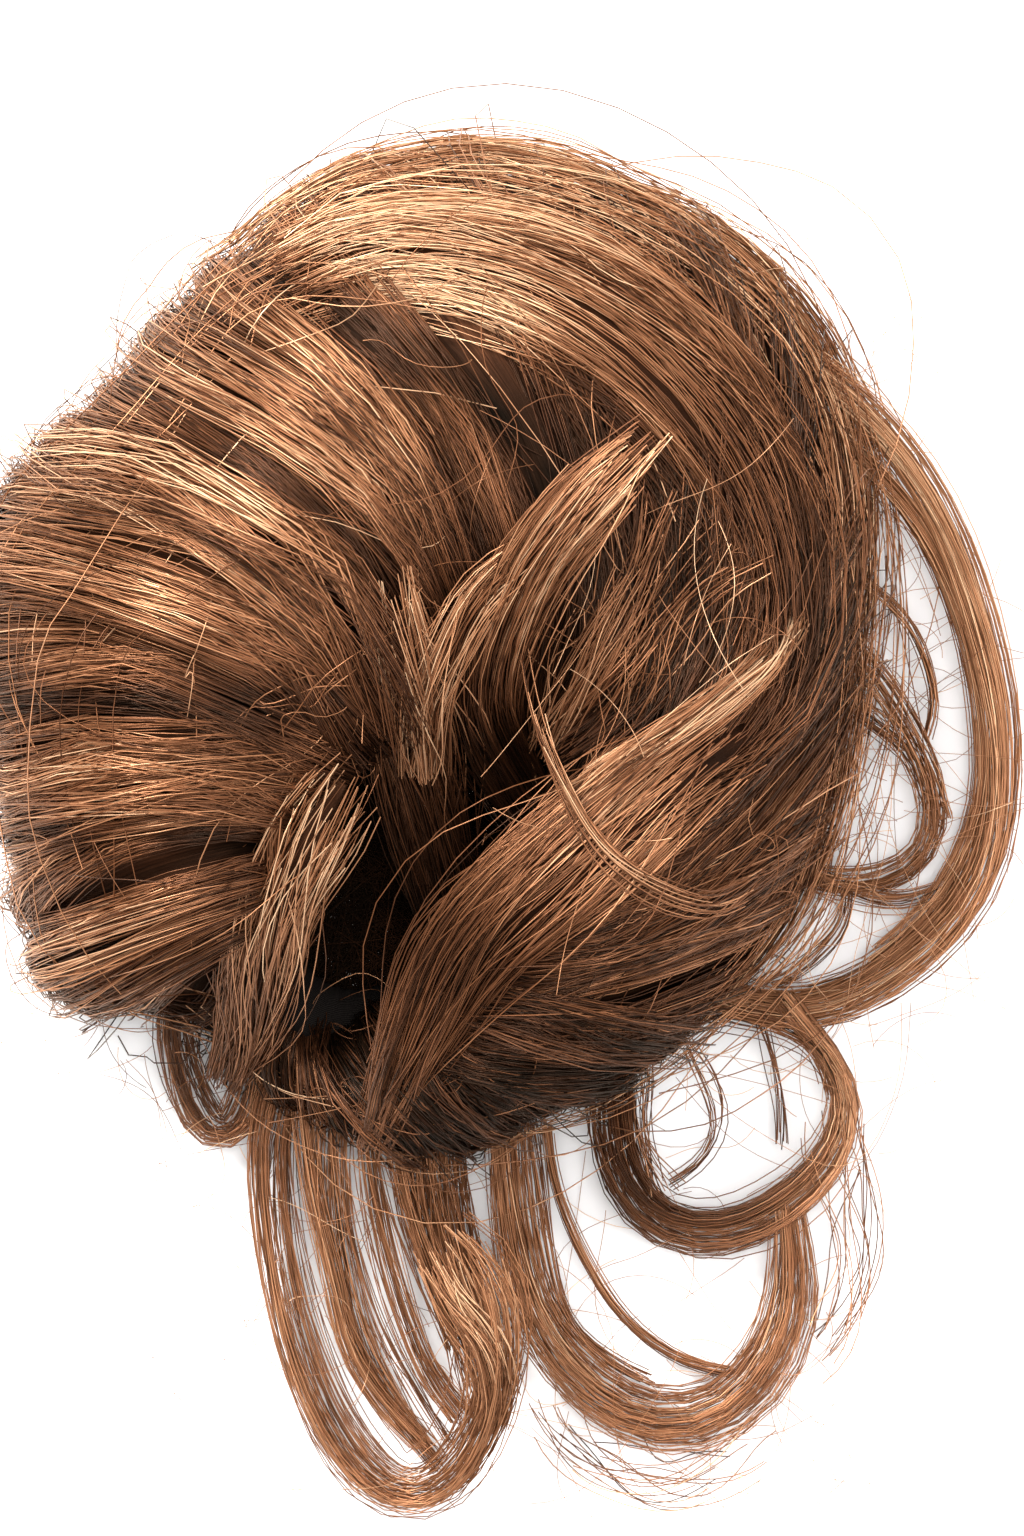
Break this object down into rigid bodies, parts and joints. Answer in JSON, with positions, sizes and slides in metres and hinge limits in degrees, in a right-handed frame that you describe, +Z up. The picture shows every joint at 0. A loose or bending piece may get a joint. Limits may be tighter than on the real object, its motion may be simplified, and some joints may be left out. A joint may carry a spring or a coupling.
{
  "type": "top knot hairpiece",
  "caption": "Messy top knot hairpiece: brown hair wound round a dark elastic band, open in the middle, with loose locks and loops.",
  "frame": {"origin": "middle of the bounding box on the surface that the hairpiece lies on", "axes": "+Z up from the surface, out of the hollow; +Y away from the hanging loops; +X towards the side loops"},
  "size_m": [0.1538, 0.1984, 0.0645],
  "materials": {
    "hair": "satin",
    "hair_light": "satin",
    "hair_dark": "satin",
    "elastic": "matte"
  },
  "bodies": {
    "root": {"elastic_band": "elastic", "hair_ring": "hair", "crown_sweep": "hair", "crossing_lock": "hair_light", "left_tuft": "hair", "right_tuft": "hair_light", "lower_tuft": "hair", "side_loop": "hair_light", "small_side_loop": "hair_light", "curl": "hair_dark", "low_loop": "hair", "hanging_loop": "hair", "inner_hanging_loop": "hair", "wide_hanging_lock": "hair", "folded_loop": "hair_light"}
  },
  "joints": []
}
